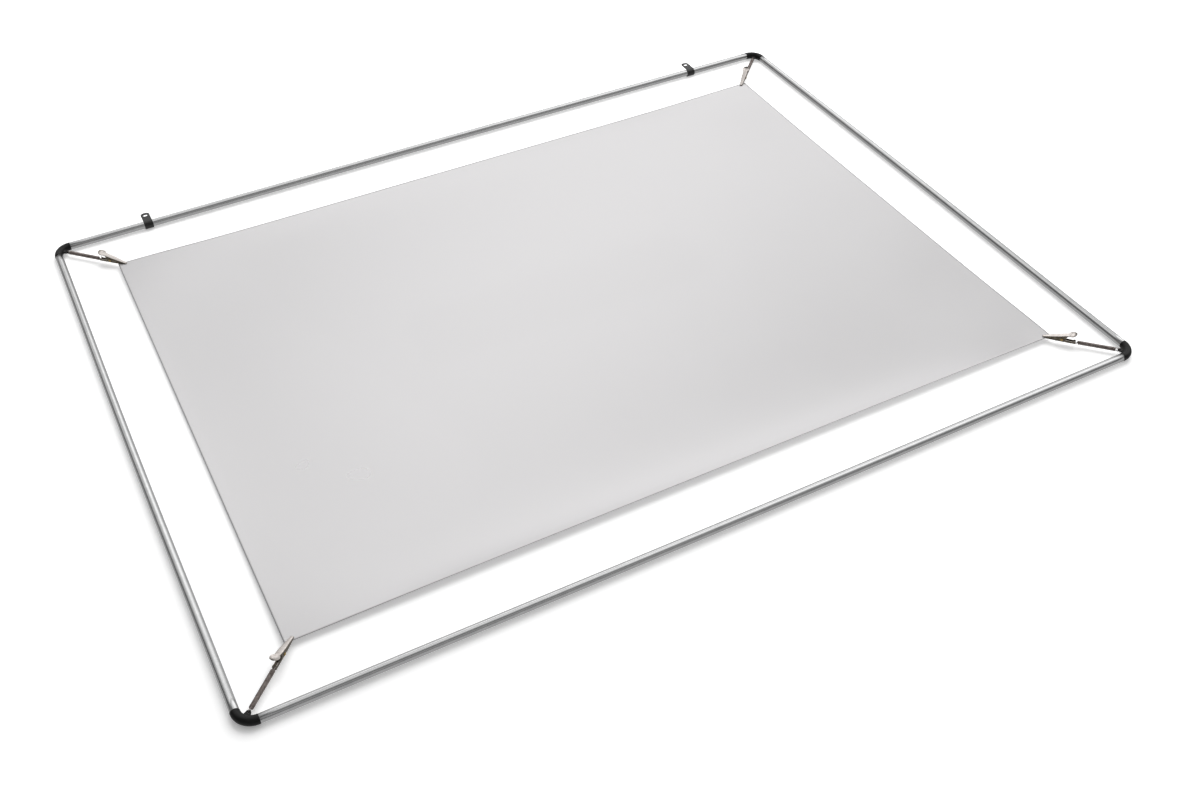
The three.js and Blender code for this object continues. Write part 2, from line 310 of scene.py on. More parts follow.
def turned(name, profile, sides=32):
    """A profile of (along Y, radius) points turned about Y, closed where it meets the axis."""
    points, faces = [], []
    for y, radius in profile:
        for k in range(sides):
            angle = 2 * math.pi * k / sides
            points.append((radius * math.cos(angle), y, radius * math.sin(angle)))
    for i in range(len(profile) - 1):
        for k in range(sides):
            m = (k + 1) % sides
            faces.append(
                (i * sides + m, i * sides + k, (i + 1) * sides + k, (i + 1) * sides + m)
            )
    last = (len(profile) - 1) * sides
    faces.append(tuple(range(sides)))
    faces.append(tuple(reversed(range(last, last + sides))))
    return new_mesh(name, points, faces)


def grid(name, rows, holes=(), thickness=PLATE, edge=0.08):
    """A plate whose middle surface passes through rows of points, pierced where asked.

    holes are (test, snap) pairs: test says if a face's centre is in the hole, and snap
    moves a point of its rim onto the hole's outline.
    """
    across = len(rows[0])
    points = [Vector(p) for row in rows for p in row]
    faces = []
    rim = [set() for _ in holes]
    for i in range(len(rows) - 1):
        for k in range(across - 1):
            face = (
                i * across + k,
                i * across + k + 1,
                (i + 1) * across + k + 1,
                (i + 1) * across + k,
            )
            centre = sum((points[v] for v in face), Vector()) / 4
            inside = [n for n, (test, _) in enumerate(holes) if test(centre)]
            if inside:
                rim[inside[0]].update(face)
            else:
                faces.append(face)
    used = {v for face in faces for v in face}
    for n, (_, snap) in enumerate(holes):
        for v in rim[n] & used:
            points[v] = snap(points[v])
    order = {v: n for n, v in enumerate(sorted(used))}
    made = new_mesh(
        name,
        [points[v] for v in sorted(used)],
        [tuple(order[v] for v in face) for face in faces],
    )
    modifier(made, "SOLIDIFY", thickness=thickness * MM, offset=0, use_even_offset=True)
    modifier(made, "BEVEL", width=edge * MM, segments=2, limit_method="ANGLE", angle_limit=0.9)
    return apply_modifiers(made)


def copied(node, source, matrix, finish):
    """A copy of a mesh, moved into the row frame and named after its CAD node."""
    data = source.data.copy()
    data.transform(matrix)
    made = bpy.data.objects.new(node + "_look", data)
    bpy.context.scene.collection.objects.link(made)
    data.materials.clear()
    data.materials.append(finish)
    return made


def add_rigid(node, source, matrix, body, slot, finish):
    """A piece that rides on one body."""
    made = copied(node, source, matrix, finish)
    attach(made, body)
    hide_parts(node)


def add_bent(node, source, matrix, finish):
    """A spring, put in place on no body, keeping the shape it is made with."""
    made = copied(node, source, matrix, finish)
    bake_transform(made)
    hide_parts(node)


def corner_matrix(corner):
    """From the corner's own frame to the row frame, in metres."""
    side_x, side_y, turn = CORNERS[corner]
    place = Vector((side_x * HALF_LENGTH, CENTRE_Y + side_y * HALF_WIDTH, AXIS)) * MM
    return Matrix.Translation(place) @ Matrix.Rotation(math.radians(turn), 4, "Z")


def discard(*made):
    """Removes the patterns that the pieces were copied from."""
    for each in made:
        bpy.data.objects.remove(each)


# ---------------------------------------------------------------- materials
def nodes_of(name):
    """A new material, its node tree and its shader."""
    made = bpy.data.materials.new(name)
    made.use_nodes = True
    tree = made.node_tree
    return made, tree, tree.nodes["Principled BSDF"]


def texture(tree, kind, scale, stretch=(1, 1, 1), space="Object", **settings):
    """A procedural texture node. scale is in cycles per metre, stretched along each axis."""
    where = tree.nodes.new("ShaderNodeTexCoord")
    mapping = tree.nodes.new("ShaderNodeMapping")
    mapping.inputs["Scale"].default_value = stretch
    made = tree.nodes.new(kind)
    made.inputs["Scale"].default_value = scale
    for key, value in settings.items():
        made.inputs[key].default_value = value
    tree.links.new(where.outputs[space], mapping.inputs["Vector"])
    tree.links.new(mapping.outputs["Vector"], made.inputs["Vector"])
    return made.outputs[0]


def spread(tree, value, low, high, start=0.3, end=0.7):
    """Maps a texture's value from start..end onto low..high."""
    made = tree.nodes.new("ShaderNodeMapRange")
    made.inputs["From Min"].default_value = start
    made.inputs["From Max"].default_value = end
    made.inputs["To Min"].default_value = low
    made.inputs["To Max"].default_value = high
    tree.links.new(value, made.inputs["Value"])
    return made.outputs["Result"]


def ramp(tree, value, stops):
    """A colour from a value, by (value, colour) stops."""
    made = tree.nodes.new("ShaderNodeValToRGB")
    elements = made.color_ramp.elements
    while len(elements) < len(stops):
        elements.new(0.5)
    for element, (place, colour) in zip(elements, stops):
        element.position = place
        element.color = (*colour, 1)
    tree.links.new(value, made.inputs["Fac"])
    return made.outputs["Color"]


def bump(tree, value, height_mm, strength, before=None):
    """A normal from a value, on top of the normal before it."""
    made = tree.nodes.new("ShaderNodeBump")
    made.inputs["Strength"].default_value = strength
    made.inputs["Distance"].default_value = height_mm * MM
    tree.links.new(value, made.inputs["Height"])
    if before:
        tree.links.new(before, made.inputs["Normal"])
    return made.outputs["Normal"]


def grey(value):
    return (value, value, value)


def aluminium():
    """Satin anodised tube: fine draw lines along it and a faint mottle."""
    made, tree, shader = nodes_of("anodised_aluminium")
    lines = texture(tree, "ShaderNodeTexNoise", 1, (6, 220, 1), "UV", Detail=6, Roughness=0.65)
    mottle = texture(tree, "ShaderNodeTexNoise", 130, Detail=4)
    colour = ramp(tree, mottle, [(0.3, (0.7, 0.705, 0.71)), (0.7, (0.78, 0.78, 0.78))])
    tree.links.new(colour, shader.inputs["Base Color"])
    tree.links.new(spread(tree, lines, 0.16, 0.28), shader.inputs["Roughness"])
    normal = bump(tree, lines, 0.012, 0.6)
    tree.links.new(bump(tree, mottle, 0.01, 0.3, normal), shader.inputs["Normal"])
    shader.inputs["Metallic"].default_value = 1
    return made


def moulded_plastic():
    """Black moulded nylon: fine grain, a broad highlight and slight scuffs."""
    made, tree, shader = nodes_of("black_moulded_plastic")
    grain = texture(tree, "ShaderNodeTexNoise", 5200, Detail=3)
    scuffs = texture(tree, "ShaderNodeTexNoise", 260, Detail=6, Roughness=0.7)
    colour = ramp(tree, scuffs, [(0.35, grey(0.004)), (0.62, grey(0.007)), (0.78, grey(0.016))])
    tree.links.new(colour, shader.inputs["Base Color"])
    tree.links.new(spread(tree, scuffs, 0.3, 0.44), shader.inputs["Roughness"])
    tree.links.new(bump(tree, grain, 0.02, 0.5), shader.inputs["Normal"])
    shader.inputs["Specular IOR Level"].default_value = 0.3
    return made


def spring_wire(name, dark, light):
    """Drawn spring wire: lengthwise drawing marks and patches of brown oxide."""
    made, tree, shader = nodes_of(name)
    marks = texture(tree, "ShaderNodeTexNoise", 1, (400, 14, 1), "UV", Detail=4)
    patches = texture(tree, "ShaderNodeTexNoise", 480, Detail=5, Roughness=0.6)
    colour = ramp(tree, patches, [(0.32, dark), (0.66, light)])
    tree.links.new(colour, shader.inputs["Base Color"])
    tree.links.new(spread(tree, marks, 0.26, 0.42), shader.inputs["Roughness"])
    tree.links.new(bump(tree, marks, 0.006, 0.5), shader.inputs["Normal"])
    shader.inputs["Metallic"].default_value = 1
    return made


def blended(tree, factor, first, second):
    """The first colour where the factor is 0 and the second where it is 1."""
    made = tree.nodes.new("ShaderNodeMix")
    made.data_type = "RGBA"
    tree.links.new(factor, made.inputs["Factor"])
    tree.links.new(first, made.inputs["A"])
    tree.links.new(second, made.inputs["B"])
    return made.outputs["Result"]


def nickel():
    """Nickel plating in patches: painted lighter where it faces up, as painted light, and
    olive-brown down the walls and undersides, as painted shade over some tarnish.
    """
    made, tree, shader = nodes_of("nickel_plate")
    wall = tree.nodes.new("ShaderNodeAttribute")
    wall.attribute_name = WALL
    patches = texture(tree, "ShaderNodeTexNoise", 420, Detail=6, Roughness=0.6)
    marks = texture(tree, "ShaderNodeTexNoise", 900, (1, 1, 8), Detail=3)
    lit_top_colour = ramp(tree, patches, [(0.3, (0.66, 0.605, 0.57)), (0.6, (0.82, 0.77, 0.735))])
    tarnish_and_wall_shade = ramp(
        tree,
        patches,
        [(0.3, (0.08, 0.065, 0.045)), (0.5, (0.17, 0.145, 0.11)), (0.7, (0.36, 0.32, 0.27))],
    )
    # painted light and shade: faces that look up take the light colour, walls and undersides the
    # dark one
    colour = blended(tree, wall.outputs["Fac"], lit_top_colour, tarnish_and_wall_shade)
    tree.links.new(colour, shader.inputs["Base Color"])
    tree.links.new(spread(tree, patches, 0.34, 0.22), shader.inputs["Roughness"])
    tree.links.new(bump(tree, marks, 0.003, 0.4), shader.inputs["Normal"])
    shader.inputs["Metallic"].default_value = 1
    return made


def brass():
    """Dull brass of the pin: its small dents are paler and smoother than the rest."""
    made, tree, shader = nodes_of("brass")
    patches = texture(tree, "ShaderNodeTexNoise", 700, Detail=5)
    colour = ramp(tree, patches, [(0.3, (0.42, 0.27, 0.09)), (0.68, (0.78, 0.57, 0.24))])
    tree.links.new(colour, shader.inputs["Base Color"])
    tree.links.new(spread(tree, patches, 0.36, 0.2), shader.inputs["Roughness"])
    tree.links.new(bump(tree, patches, 0.01, 0.4), shader.inputs["Normal"])
    shader.inputs["Metallic"].default_value = 1
    return made


def strap_enamel():
    """Black satin enamel on steel strip, with a slight orange peel and rubbed patches."""
    made, tree, shader = nodes_of("black_strap_enamel")
    peel = texture(tree, "ShaderNodeTexNoise", 1500, Detail=2)
    rubbed = texture(tree, "ShaderNodeTexNoise", 330, Detail=6, Roughness=0.65)
    colour = ramp(tree, rubbed, [(0.35, grey(0.003)), (0.6, grey(0.006)), (0.8, grey(0.03))])
    tree.links.new(colour, shader.inputs["Base Color"])
    tree.links.new(spread(tree, rubbed, 0.3, 0.42), shader.inputs["Roughness"])
    tree.links.new(bump(tree, peel, 0.02, 0.5), shader.inputs["Normal"])
    shader.inputs["Specular IOR Level"].default_value = 0.8
    return made


def satin_film():
    """Silvery satin film: faint long waves, and a fine tooth that blurs its sheen."""
    made, tree, shader = nodes_of("satin_film")
    tooth = texture(tree, "ShaderNodeTexNoise", 2600, Detail=3)
    clouds = texture(tree, "ShaderNodeTexNoise", 5, Detail=3)
    waves = texture(tree, "ShaderNodeTexNoise", 9, (1, 0.35, 1), Detail=1)
    colour = ramp(tree, clouds, [(0, (0.61, 0.601, 0.606)), (1, (0.66, 0.651, 0.656))])
    tree.links.new(colour, shader.inputs["Base Color"])
    tree.links.new(spread(tree, clouds, 0.24, 0.34, 0, 1), shader.inputs["Roughness"])
    normal = bump(tree, waves, 0.15, 0.25)
    tree.links.new(bump(tree, tooth, 0.006, 0.35, normal), shader.inputs["Normal"])
    shader.inputs["Metallic"].default_value = 0.64
    return made


ALUMINIUM = aluminium()
PLASTIC = moulded_plastic()
SPRING_WIRE = spring_wire("spring_wire", (0.25, 0.21, 0.195), (0.52, 0.455, 0.43))
FINE_WIRE = spring_wire("torsion_wire", (0.3, 0.27, 0.23), (0.5, 0.46, 0.4))
NICKEL = nickel()
BRASS = brass()
ENAMEL = strap_enamel()
FILM = satin_film()


# ---------------------------------------------------------------- tubes
def add_tubes():
    """Hollow tubes between the elbows, each bowed outwards."""
    sides = {
        "tube_front": ((0, -1), (1, 0), HALF_LENGTH),
        "tube_right": ((1, 0), (0, 1), HALF_WIDTH),
        "tube_back": ((0, 1), (1, 0), HALF_LENGTH),
        "tube_left": ((-1, 0), (0, 1), HALF_WIDTH),
    }
    for name, (outwards, direction, half) in sides.items():
        reach = half - TUBE_START
        out = HALF_WIDTH if direction[0] else HALF_LENGTH
        inside = steps(-reach, reach, 61)[1:-1]
        path = []
        for place in [-reach, -reach + TUBE_CHAMFER, *inside, reach - TUBE_CHAMFER, reach]:
            away = out + TUBE_BOW * (1 - (place / reach) ** 2) ** 2
            x = outwards[0] * away + direction[0] * place
            y = outwards[1] * away + direction[1] * place + CENTRE_Y
            path.append((x, y, AXIS))
        end = TUBE_RADIUS - TUBE_CHAMFER
        outer = [end, *[TUBE_RADIUS] * (len(path) - 2), end]
        made = pipe("made_" + name, path, outer, [TUBE_BORE] * len(path), 64)
        add_rigid(name, made, Matrix.Identity(4), "frame", "tube", ALUMINIUM)
        discard(made)


# ---------------------------------------------------------------- elbows
def elbow_mesh():
    """The bend, its spigots and its lug, melted into one moulding."""
    to_diagonal = Matrix.Rotation(math.radians(-45), 4, "Z")
    lip = ELBOW_END - 0.25
    bend = [Vector((ELBOW_END, 0, 0)), Vector((lip, 0, 0))]
    for angle in steps(0, math.pi / 2, 41):
        bend.append(
            Vector((BEND_RADIUS * (1 - math.sin(angle)), BEND_RADIUS * (1 - math.cos(angle)), 0))
        )
    bend += [Vector((0, lip, 0)), Vector((0, ELBOW_END, 0))]
    parts = [bar("bend", [to_diagonal @ p for p in bend], ELBOW_RADIUS, 64)]
    for axis in (Vector((1, 0, 0)), Vector((0, 1, 0))):
        reach = [axis * d for d in (ELBOW_END - 2, ELBOW_END + SPIGOT_LENGTH - 0.8)]
        path = [to_diagonal @ p for p in [*reach, axis * (ELBOW_END + SPIGOT_LENGTH)]]
        parts.append(bar("spigot", path, [SPIGOT_RADIUS, SPIGOT_RADIUS, SPIGOT_RADIUS - 0.5], 40))

    root = math.sqrt(2) * BEND_RADIUS - (BEND_RADIUS - ELBOW_RADIUS) - 2.5
    outline = [(root, -LUG_ROOT_HALF_WIDTH)]
    outline += [
        (LUG_EYE + LUG_TIP_RADIUS * math.cos(a), LUG_TIP_RADIUS * math.sin(a))
        for a in steps(-LUG_TIP_SWEEP, LUG_TIP_SWEEP, 19)
    ]
    outline.append((root, LUG_ROOT_HALF_WIDTH))
    half = LUG_THICKNESS / 2
    parts.append(prism("lug", outline, -half, half))
    tip = LUG_EYE - GUSSET_GAP
    gusset = [(root, -GUSSET_HALF_HEIGHT), (tip, -half + 0.1)]
    gusset += [(tip, half - 0.1), (root, GUSSET_HALF_HEIGHT)]
    wedge = prism("gusset", gusset, -GUSSET_THICKNESS / 2, GUSSET_THICKNESS / 2)
    wedge.data.transform(Matrix.Rotation(math.radians(90), 4, "X"))
    parts.append(wedge)

    whole = parts[0]
    for part in parts[1:]:
        modifier(whole, "BOOLEAN", operation="UNION", object=part, solver="EXACT")
    eye = [(LUG_EYE, 0, z) for z in (-3, 3)]
    cutter = bar("eye", eye, LUG_EYE_RADIUS, 32)
    modifier(whole, "BOOLEAN", operation="DIFFERENCE", object=cutter, solver="EXACT")
    apply_modifiers(whole)
    modifier(whole, "REMESH", mode="VOXEL", voxel_size=0.17 * MM)
    modifier(whole, "SMOOTH", factor=0.5, iterations=5)
    apply_modifiers(whole)
    whole.data.shade_smooth()
    discard(*parts[1:], cutter)
    return whole


def prism(name, outline, low, high):
    """An outline in X and Y, closed flat at two heights."""
    count = len(outline)
    points = [(x, y, low) for x, y in outline] + [(x, y, high) for x, y in outline]
    faces = [tuple(reversed(range(count))), tuple(range(count, 2 * count))]
    for k in range(count):
        m = (k + 1) % count
        faces.append((k, m, count + m, count + k))
    return new_mesh(name, points, faces)


# ---------------------------------------------------------------- springs
def relaxed(path, start, end, passes=6):
    """The path with its points from start to end drawn towards their neighbours."""
    for _ in range(passes):
        old = [p.copy() for p in path]
        for i in range(max(start, 1), min(end, len(path) - 1)):
            path[i] = (old[i - 1] + 2 * old[i] + old[i + 1]) / 4
    return path


def loop_points(centre, height, start, end, count):
    """An upright oval loop of the wire, between two angles in degrees."""
    return [
        centre + Vector((LOOP_REACH * math.cos(a), 0, height * math.sin(a)))
        for a in steps(math.radians(start), math.radians(end), count)
    ]


def tension_spring_mesh():
    """One wire: a loop through the lug's eye, the coil, and a loop through the clip's tail."""
    path = loop_points(LUG_LOOP, LUG_LOOP_HEIGHT, 318, 90, 40)
    first = len(path)
    total = COIL_TURNS * POINTS_PER_TURN + POINTS_PER_TURN // 2
    for i in range(total + 1):
        angle = math.pi / 2 + 2 * math.pi * i / POINTS_PER_TURN
        x = COIL_START + (COIL_END - COIL_START) * i / total
        path.append(Vector((x, COIL_RADIUS * math.cos(angle), COIL_RADIUS * math.sin(angle))))
    last = len(path)
    path += loop_points(CLIP_LOOP, CLIP_LOOP_HEIGHT, -90, 140, 40)
    relaxed(path, first - 4, first + 5)
    relaxed(path, last - 5, last + 4)
    return bar("tension_spring", path, WIRE_RADIUS, 10)


def torsion_spring_mesh():
    """Two and a half turns on the pin, with a leg along each jaw."""
    coil, side = TORSION_RADIUS, TORSION_SIDE
    lower_leg = [(5, -0.42), (PIVOT.x, PIVOT.z - coil)]
    upper_leg = [(5.6, 5.75), (PIVOT.x, PIVOT.z + coil)]
    leg_end = PIVOT.x - 0.4  # a leg bends into the coil here
    path = [Vector((x, -side, along(lower_leg, x))) for x in steps(5, leg_end, 14)]
    first = len(path)
    count = 90
    for i in range(count + 1):
        angle = -math.pi / 2 + 5 * math.pi * i / count
        y = -side + 2 * side * i / count
        path.append(PIVOT + Vector((coil * math.cos(angle), y, coil * math.sin(angle))))
    last = len(path)
    path += [Vector((x, side, along(upper_leg, x))) for x in steps(leg_end, 5.6, 14)]
    relaxed(path, first - 2, first + 3, 3)
    relaxed(path, last - 3, last + 2, 3)
    return bar("torsion_spring", path, TORSION_WIRE_RADIUS, 10)


# ---------------------------------------------------------------- clips
def mark_wall_shade(made, top_shade=0.0):
    """Writes how far each point of a jaw faces sideways or down, for its plating to read as painted
    shade.
    """
    layer = made.data.attributes.new(WALL, "FLOAT", "POINT")
    for point, value in zip(made.data.vertices, layer.data):
        top = smooth((point.normal.z - WALL_STARTS) / WALL_FADE)
        # faces that look up still get this share of the painted shade
        value.value = 1 - (1 - top_shade) * top
    return made


def teeth(x):
    """0 between teeth and 1 at their points, over the front of the jaws."""
    if not TEETH_START < x < CLIP_LENGTH - 0.2:
        return 0.0
    return 1 - abs(((x - TEETH_START) / TOOTH_PITCH) % 1 * 2 - 1)


def section(x, half_width, floor_z, edge_z, corner, crown=0.0):
    """One station of a channel: up or down one wall, round its corner and across."""
    away = 1 if floor_z > edge_z else -1
    radius = min(corner, abs(floor_z - edge_z) * 0.9)
    wall = [(half_width, z) for z in steps(edge_z, floor_z - away * radius, 6)]
    bend = [
        (
            half_width - radius + radius * math.cos(a),
            floor_z - away * radius + away * radius * math.sin(a),
        )
        for a in steps(0, math.pi / 2, 5)[1:]
    ]
    inner = half_width - radius
    flat = [(y, floor_z + away * crown * (1 - (y / inner) ** 2)) for y in steps(inner, 0, 8)[1:]]
    side = wall + bend + flat
    row = [Vector((x, -y, z)) for y, z in side]
    row += [Vector((x, y, z)) for y, z in reversed(side[:-1])]
    return row


def upper_jaw_mesh():
    """Pressed channel over the lower jaw, ending in a dished thumb pad with a raised rim."""

    def top(x):
        return MOUTH + 0.5 + JAW_SLOPE * (CLIP_LENGTH - x) - PLATE / 2

    rows = []
    for x in steps(0.55, PAD_END - 0.2, 28) + steps(PAD_END, CLIP_LENGTH - 0.25, 110):
        body = along(UPPER_HALF_WIDTHS, x) - PLATE / 2
        pad = PAD_RADIUS**2 - ((x - PAD_CENTRE) * PAD_SQUEEZE) ** 2
        pad = math.sqrt(max(pad, 0.15)) if x < PAD_END - 0.1 else 0
        half = max(pad, body if x > 5 else 0)
        height = top(x)
        edge = along(UPPER_EDGES, x)
        if x < PAD_END:
            share = smooth((PAD_END - x) / 1.4)
            edge = edge + (height - 0.16 - edge) * share
        if x > TEETH_START - 0.2:
            edge -= UPPER_TOOTH_HEIGHT * (teeth(x) - 0.35)
        row = section(x, half, height, edge, 0.42, crown=0.05 if x > PAD_END else 0)
        if x < PAD_END:
            for point in row:
                reach = math.hypot((point.x - PAD_CENTRE) * PAD_SQUEEZE, point.y) / PAD_RADIUS
                fade = smooth((PAD_END - x) / 2.2)
                point.z += fade * (0.75 * min(reach, 1.05) ** 3 - 0.42)
                point.z += 0.5 * smooth((2.2 - x) / 2.2) * min(reach, 1)
        rows.append(row)
    front = along(UPPER_HALF_WIDTHS, CLIP_LENGTH) - PLATE / 2
    for share in (0.35, 0.75, 1):
        height = top(CLIP_LENGTH) + (MOUTH + 0.12 - top(CLIP_LENGTH)) * share * share
        x = CLIP_LENGTH - 0.25 * (1 - share)
        rows.append(section(x, front - 0.12 * share, height, MOUTH + 0.02, 0.3))
    return mark_wall_shade(grid("upper_jaw", rows))


def lower_jaw_mesh():
    """Pressed channel with ears at the pivot, a pierced tail and a toothed front."""

    def floor(x):
        return -1.4 + 0.5 * x / CLIP_LENGTH + PLATE / 2

    rows = []
    for x in steps(0, 4, 30) + steps(4.2, CLIP_LENGTH - 0.2, 120):
        half = along(LOWER_HALF_WIDTHS, x) - PLATE / 2
        edge = along(LOWER_EDGES, x)
        if x > TEETH_START + 0.2:
            edge += LOWER_TOOTH_HEIGHT * (teeth(x + TOOTH_PITCH / 2) - 0.5)
        rows.append(section(x, half, floor(x), max(edge, floor(x) + 0.12), 0.4))
    for share in (0.5, 1):
        height = floor(CLIP_LENGTH) + 0.3 * share
        rows.append(section(CLIP_LENGTH - 0.2 * (1 - share), 0.8, height, height + 0.12, 0.1))

    def in_hole(p):
        return p.z < -0.8 and math.hypot(p.x - TAIL_HOLE, p.y) < TAIL_HOLE_RADIUS

    def to_rim(p):
        away = Vector((p.x - TAIL_HOLE, p.y, 0)).normalized() * TAIL_HOLE_RADIUS
        return Vector((TAIL_HOLE + away.x, away.y, p.z))

    # the lower jaw's top gets 0.45 of the painted shade, so the whole lower jaw is painted darker
    return mark_wall_shade(grid("lower_jaw", rows, holes=[(in_hole, to_rim)]), 0.45)


def pin_mesh():
    """A shaft with a domed, peened head at each side of the upper jaw."""
    head = [(2.44, 1.16), (2.62, 1.15), (2.78, 1.0), (2.9, 0.72), (2.96, 0.36), (2.97, 0.02)]
    profile = [(-y, r) for y, r in reversed(head)] + [(-2.42, 0.6), (2.42, 0.6)] + head
    made = turned("pin", profile)
    made.data.transform(Matrix.Translation(PIVOT * MM))
    return made


# ---------------------------------------------------------------- hangers
def hanger_mesh():
    """The strap's own frame: X outwards from the tube, Y along it, Z up."""
    path = []  # (outwards, height, distance from the tab's end)
    for out in steps(UPPER_TAB, 0.3, 88):
        path.append((out, STRAP_RADIUS, UPPER_TAB - out))
    for a in steps(math.pi / 2, 1.5 * math.pi, 40):
        path.append((STRAP_RADIUS * math.cos(a), STRAP_RADIUS * math.sin(a), math.inf))
    for out in steps(0.3, LOWER_TAB, 76):
        path.append((out, -STRAP_RADIUS, LOWER_TAB - out))
    rows = []
    for out, z, left in path:
        half = STRAP_HALF_WIDTH
        if left < TAB_CORNER:
            inset = TAB_CORNER - max(left, 0)
            half += math.sqrt(TAB_CORNER**2 - inset**2) - TAB_CORNER
        rows.append([Vector((out, y, z)) for y in steps(-half, half, 57)])

    def hole(centre, side):
        reach = (HOLE_LENGTH - HOLE_WIDTH) / 2
        radius = HOLE_WIDTH / 2

        def nearest(p):
            return Vector((centre, max(-reach, min(reach, p.y)), p.z))

        def test(p):
            return p.z * side > 3 and (p - nearest(p)).length < radius

        def snap(p):
            middle_point = nearest(p)
            return middle_point + (p - middle_point).normalized() * radius

        return test, snap

    holes = [hole(UPPER_HOLE, 1), hole(LOWER_HOLE, -1)]
    return grid("hanger", rows, holes=holes, thickness=STRAP_THICKNESS, edge=0.14)


def add_hangers():
    """Two straps round the back tube."""
    made = hanger_mesh()
    for name, side in (("hanger_left", -1), ("hanger_right", 1)):
        place = Vector((side * HANGER_X, CENTRE_Y + HALF_WIDTH, AXIS)) * MM
        matrix = Matrix.Translation(place) @ Matrix.Rotation(math.pi / 2, 4, "Z")
        add_rigid(name, made, matrix, name, "hanger", ENAMEL)
    discard(made)


# ---------------------------------------------------------------- corners
def add_corners():
    """An elbow, a tension spring and a clip at each corner."""
    elbow, spring, torsion = elbow_mesh(), tension_spring_mesh(), torsion_spring_mesh()
    lower, upper, pin = lower_jaw_mesh(), upper_jaw_mesh(), pin_mesh()
    for corner in CORNERS:
        here = corner_matrix(corner)
        clip = here @ Matrix.Translation(Vector((CLIP_TAIL, 0, 0)) * MM)
        body = {kind: kind + "_" + corner for kind in ("spring", "clip", "jaw")}
        rigid = [
            ("elbow", elbow, here, "frame", "elbow", PLASTIC),
            ("clip_lower_jaw", lower, clip, body["clip"], "clip", NICKEL),
            ("clip_upper_jaw", upper, clip, body["jaw"], "clip", NICKEL),
            ("clip_pivot_pin", pin, clip, body["clip"], "pivot_pin", BRASS),
        ]
        for kind, source, matrix, on, slot, finish in rigid:
            add_rigid(kind + "_" + corner, source, matrix, on, slot, finish)
        add_bent(
            "tension_spring_" + corner, spring, here,
            SPRING_WIRE,
        )
        add_bent(
            "clip_torsion_spring_" + corner, torsion, clip,
            FINE_WIRE,
        )
    discard(elbow, spring, torsion, lower, upper, pin)


# ---------------------------------------------------------------- sheet
def sheet_height(x, y, grips):
    """Level in the jaws, taut along the edges between them, and sunk to the floor inside."""
    place = Vector((x, y))
    corner = max(math.exp(-(((place - grip).length / CORNER_FALL) ** 2)) for grip in grips)
    insides = {
        "front": SHEET_WIDTH / 2 + (y - CENTRE_Y),
        "back": SHEET_WIDTH / 2 - (y - CENTRE_Y),
        "left": SHEET_LENGTH / 2 + x,
        "right": SHEET_LENGTH / 2 - x,
    }
    edge = max(EDGE_LIFTS[side] * math.exp(-inside / EDGE_FALL) for side, inside in insides.items())
    lift = corner + (1 - corner) * edge
    return SHEET_REST + (AXIS - SHEET_REST) * lift


def add_sheet():
    """A film held by its corners, with thickness."""
    grips = [(corner_matrix(c) @ (Vector((GRIP, 0, 0)) * MM) / MM).to_2d() for c in CORNERS]

    def spaced(half, count):
        crowded = [math.sin(a) for a in steps(-math.pi / 2, math.pi / 2, count)]
        return [
            half * (EDGE_CROWDING * c + (1 - EDGE_CROWDING) * even)
            for c, even in zip(crowded, steps(-1, 1, count))
        ]

    points, faces = [], []
    columns = spaced(SHEET_LENGTH / 2, 211)
    lines = spaced(SHEET_WIDTH / 2, 161)
    for y in lines:
        for x in columns:
            points.append((x, y + CENTRE_Y, sheet_height(x, y + CENTRE_Y, grips)))
    wide = len(columns)
    for i in range(len(lines) - 1):
        for k in range(wide - 1):
            first = i * wide + k
            faces.append((first, first + 1, first + wide + 1, first + wide))
    sheet = new_mesh("poster_sheet_look", points, faces)
    modifier(sheet, "SOLIDIFY", thickness=SHEET_THICKNESS * MM, offset=0)
    apply_modifiers(sheet)
    sheet.data.materials.append(FILM)
    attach(sheet, "frame")
    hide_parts("poster_sheet")


# ---------------------------------------------------------------- floor, light and camera
KEY_DIRECTION = Vector((0.45, 0.65, 0.6)).normalized()
KEY_PLACE = (1.0, 1.3, 1.6)  # this and the other places below are in metres
KEY_TARGET = (0.1, 0.1, 0)
KEY_SIZE = 2.8
KEY_POWER = 56
# a room stop is (where between facing away from the direction and facing it, brightness)
ROOM_STOPS = [
    (0.0, grey(0.36)),
    (0.4, grey(0.36)),
    (0.49, grey(0.24)),
    (0.57, grey(0.15)),
    (0.65, grey(0.24)),
    (0.74, grey(0.5)),
    (0.82, grey(0.9)),
    (0.92, grey(1.0)),
]
STRIP_NORMAL = Vector((-0.474, 0.695, -0.541))  # square to the strip light's length
STRIP_STOPS = [
    (0.3, grey(0.9)),
    (0.375, grey(0.32)),
    (0.48, grey(0.95)),
    (0.545, grey(0.95)),
    (0.645, grey(0.42)),
    (0.73, grey(0.85)),
]
STRIP_ALONG = Vector((0.82, 0.123, -0.559))
END_STOPS = [(0.33, grey(0.72)), (0.43, grey(1.0))]
UP = Vector((0, 0, 1))
HEIGHT_STOPS = [(0.5, grey(0.36)), (0.63, grey(0.48)), (0.75, grey(1.0))]
ROOM_STRENGTH = 1.42
FLOOR_HALF = 15000.0
FLOOR_GLOW = (0.2, 0.5)  # in front of the frame and behind it: the key overexposes the floor
FLOOR_GLOW_REACH = 0.5
FLOOR_FAR = (1.2, 4.0)  # between these distances the floor turns as white as the backdrop
FLOOR_MIRRORED = 0.43  # what metal sees of the floor, without the overexposure
CAMERA_LENS = 39.96
CAMERA_FROM_CORNER = Vector((-17.2, -556.9, 761.1))  # from where the centre lines cross
CAMERA_TURN = (-27.48, 42.79, -0.68)  # degrees: heading, downwards, roll


